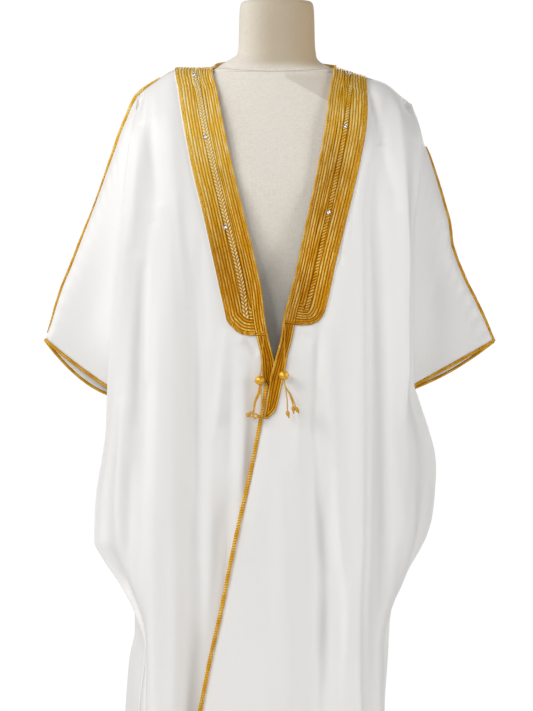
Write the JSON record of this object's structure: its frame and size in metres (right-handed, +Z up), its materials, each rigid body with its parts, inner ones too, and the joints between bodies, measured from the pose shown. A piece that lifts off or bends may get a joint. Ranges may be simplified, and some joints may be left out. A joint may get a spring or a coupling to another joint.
{
  "type": "open cloak with braided trim on a dress form",
  "caption": "White open-front cloak with broad gold bands, cords and hanging beads, draped on a limbless linen dress form with a neck, on a pole and round base.",
  "frame": {"origin": "middle of the base's underside, on the floor", "axes": "+Z up along the pole, -Y towards the wearer's front, +X towards the wearer's left"},
  "size_m": [0.7402, 0.3648, 1.611],
  "materials": {
    "white_cloth": "satin",
    "gold_thread": "metallic thread",
    "linen": "matt",
    "stand_metal": "satin"
  },
  "bodies": {
    "root": {"front_right": "white_cloth", "front_left": "white_cloth", "back": "white_cloth", "sleeve_right": "white_cloth", "sleeve_left": "white_cloth", "band_right": "gold_thread", "band_left": "gold_thread", "tab_right": "gold_thread", "tab_left": "gold_thread", "shoulder_cord_right": "gold_thread", "shoulder_cord_left": "gold_thread", "neck_cord": "gold_thread", "edge_cord_right": "gold_thread", "edge_cord_left": "gold_thread", "cuff_cord_right": "gold_thread", "cuff_cord_left": "gold_thread", "string_right": "gold_thread", "string_left": "gold_thread", "bead_right": "gold_thread", "bead_left": "gold_thread", "form_torso": "linen", "form_neck": "linen", "stand_pole": "stand_metal", "stand_base": "stand_metal"}
  },
  "joints": []
}
